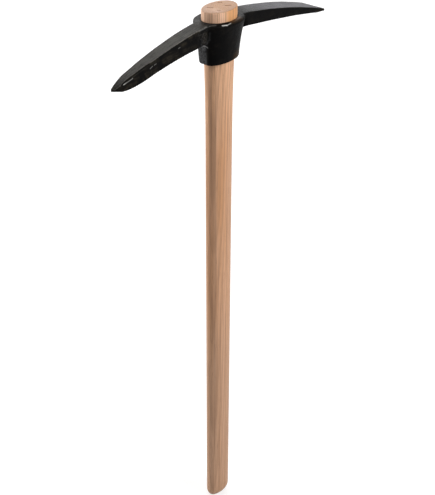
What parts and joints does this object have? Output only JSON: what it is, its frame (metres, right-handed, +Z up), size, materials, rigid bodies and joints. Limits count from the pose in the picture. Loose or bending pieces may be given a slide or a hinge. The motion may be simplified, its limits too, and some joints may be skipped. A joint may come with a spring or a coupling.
{
  "type": "pick mattock",
  "caption": "Forged steel head with a pointed arm and a flat chisel arm, slipped over the flared top of a straight oval wooden handle.",
  "frame": {"origin": "centre of the flat on the handle's butt, which is the lowest face", "axes": "+Z up along the handle to its top, +X along the head towards the chisel edge, +Y across the head"},
  "size_m": [0.447, 0.0574, 0.9],
  "materials": {
    "handle_wood": "bare hardwood with long open grain, sanded and lightly oiled",
    "head_steel": "forged steel under thin semi-gloss black paint, worn along the top edges"
  },
  "bodies": {
    "handle": {"handle": "handle_wood"},
    "head": {"head": "head_steel"}
  },
  "joints": [
    {"name": "head_slide", "type": "slide", "parent": "handle", "child": "head", "axis": [0, 0, -1], "range_m": [0, 0.8]}
  ]
}
